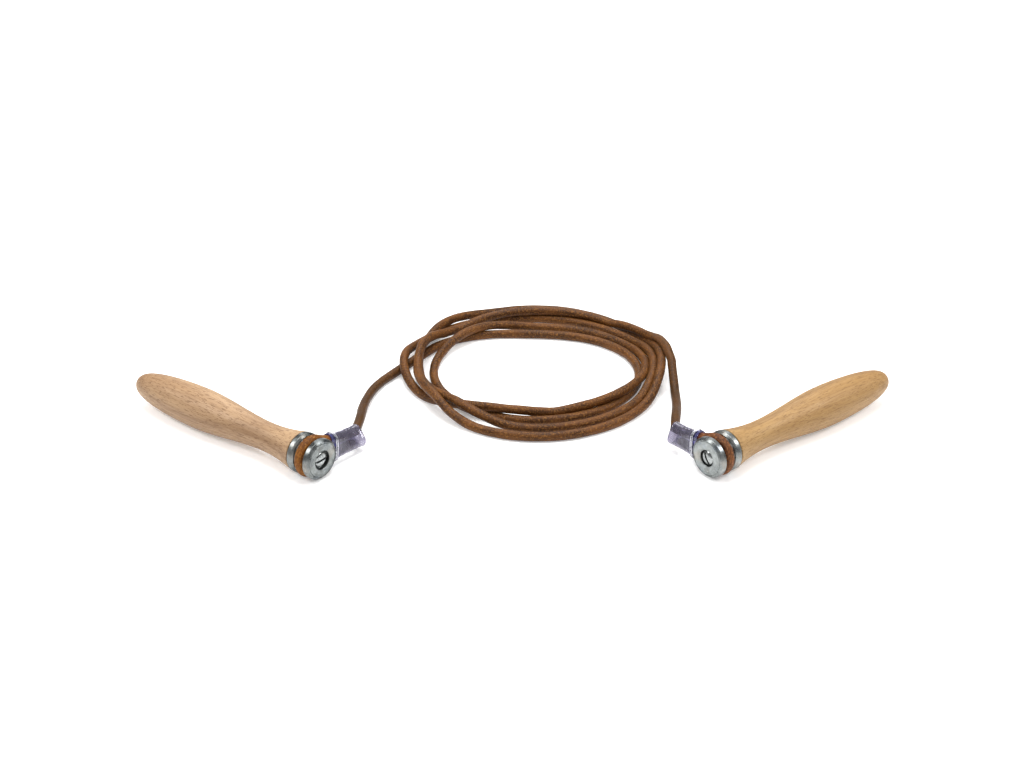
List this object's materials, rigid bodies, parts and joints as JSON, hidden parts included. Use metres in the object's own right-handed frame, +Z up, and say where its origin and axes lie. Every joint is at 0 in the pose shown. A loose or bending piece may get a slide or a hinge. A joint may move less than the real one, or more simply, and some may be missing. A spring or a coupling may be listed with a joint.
{
  "type": "jump rope",
  "caption": "Leather jump rope, coiled, with two turned wooden handles, each on a ball-bearing swivel head with steel flanges and a clear sleeve on the rope eye.",
  "frame": {"origin": "on the surface the rope lies on, under the centre of the box round both handles", "axes": "+X from the left handle to the right one, +Y from the heads towards the butts, +Z up"},
  "size_m": [0.4788, 0.2416, 0.026],
  "materials": {
    "zinc_plated_steel": "zinc plated, finely turned faces, speckled rims",
    "bright_steel": "bright, polished",
    "cage_brass": "pressed sheet, satin",
    "beech": "fine-sanded, thin matt lacquer",
    "leather": "oiled, round cut, fine speckled grain",
    "clear_vinyl": "clear, violet tinted, glossy"
  },
  "bodies": {
    "rope": {"rope_coil": "leather", "left_lead": "leather", "right_lead": "leather", "left_rope_eye": "leather", "left_clear_sleeve": "clear_vinyl", "left_wire_tie": "bright_steel", "left_bearing_outer_ring": "bright_steel", "right_rope_eye": "leather", "right_clear_sleeve": "clear_vinyl", "right_wire_tie": "bright_steel", "right_bearing_outer_ring": "bright_steel"},
    "left_handle": {"left_grip": "beech", "left_back_flange": "zinc_plated_steel", "left_back_spacer": "bright_steel", "left_bearing_inner_ring": "bright_steel", "left_front_spacer": "bright_steel", "left_front_flange": "zinc_plated_steel", "left_axle_screw": "bright_steel"},
    "left_balls": {"left_ball_cage": "cage_brass", "left_ball_1": "bright_steel", "left_ball_2": "bright_steel", "left_ball_3": "bright_steel", "left_ball_4": "bright_steel", "left_ball_5": "bright_steel", "left_ball_6": "bright_steel", "left_ball_7": "bright_steel"},
    "right_handle": {"right_grip": "beech", "right_back_flange": "zinc_plated_steel", "right_back_spacer": "bright_steel", "right_bearing_inner_ring": "bright_steel", "right_front_spacer": "bright_steel", "right_front_flange": "zinc_plated_steel", "right_axle_screw": "bright_steel"},
    "right_balls": {"right_ball_cage": "cage_brass", "right_ball_1": "bright_steel", "right_ball_2": "bright_steel", "right_ball_3": "bright_steel", "right_ball_4": "bright_steel", "right_ball_5": "bright_steel", "right_ball_6": "bright_steel", "right_ball_7": "bright_steel"}
  },
  "joints": [
    {"name": "left_handle_spin", "type": "hinge", "parent": "rope", "child": "left_handle", "pos_m": [-0.11869, -0.03968, 0.013], "axis": [-0.7923, 0.6101, 0], "continuous": true},
    {"name": "left_balls_spin", "type": "hinge", "parent": "rope", "child": "left_balls", "pos_m": [-0.11869, -0.03968, 0.013], "axis": [-0.7923, 0.6101, 0], "continuous": true},
    {"name": "right_handle_spin", "type": "hinge", "parent": "rope", "child": "right_handle", "pos_m": [0.11869, -0.03968, 0.013], "axis": [0.7923, 0.6101, 0], "continuous": true},
    {"name": "right_balls_spin", "type": "hinge", "parent": "rope", "child": "right_balls", "pos_m": [0.11869, -0.03968, 0.013], "axis": [0.7923, 0.6101, 0], "continuous": true}
  ],
  "couplings": [
    {"joint": "left_balls_spin", "follows": "left_handle_spin", "ratio": 0.39474},
    {"joint": "right_balls_spin", "follows": "right_handle_spin", "ratio": 0.39474}
  ]
}
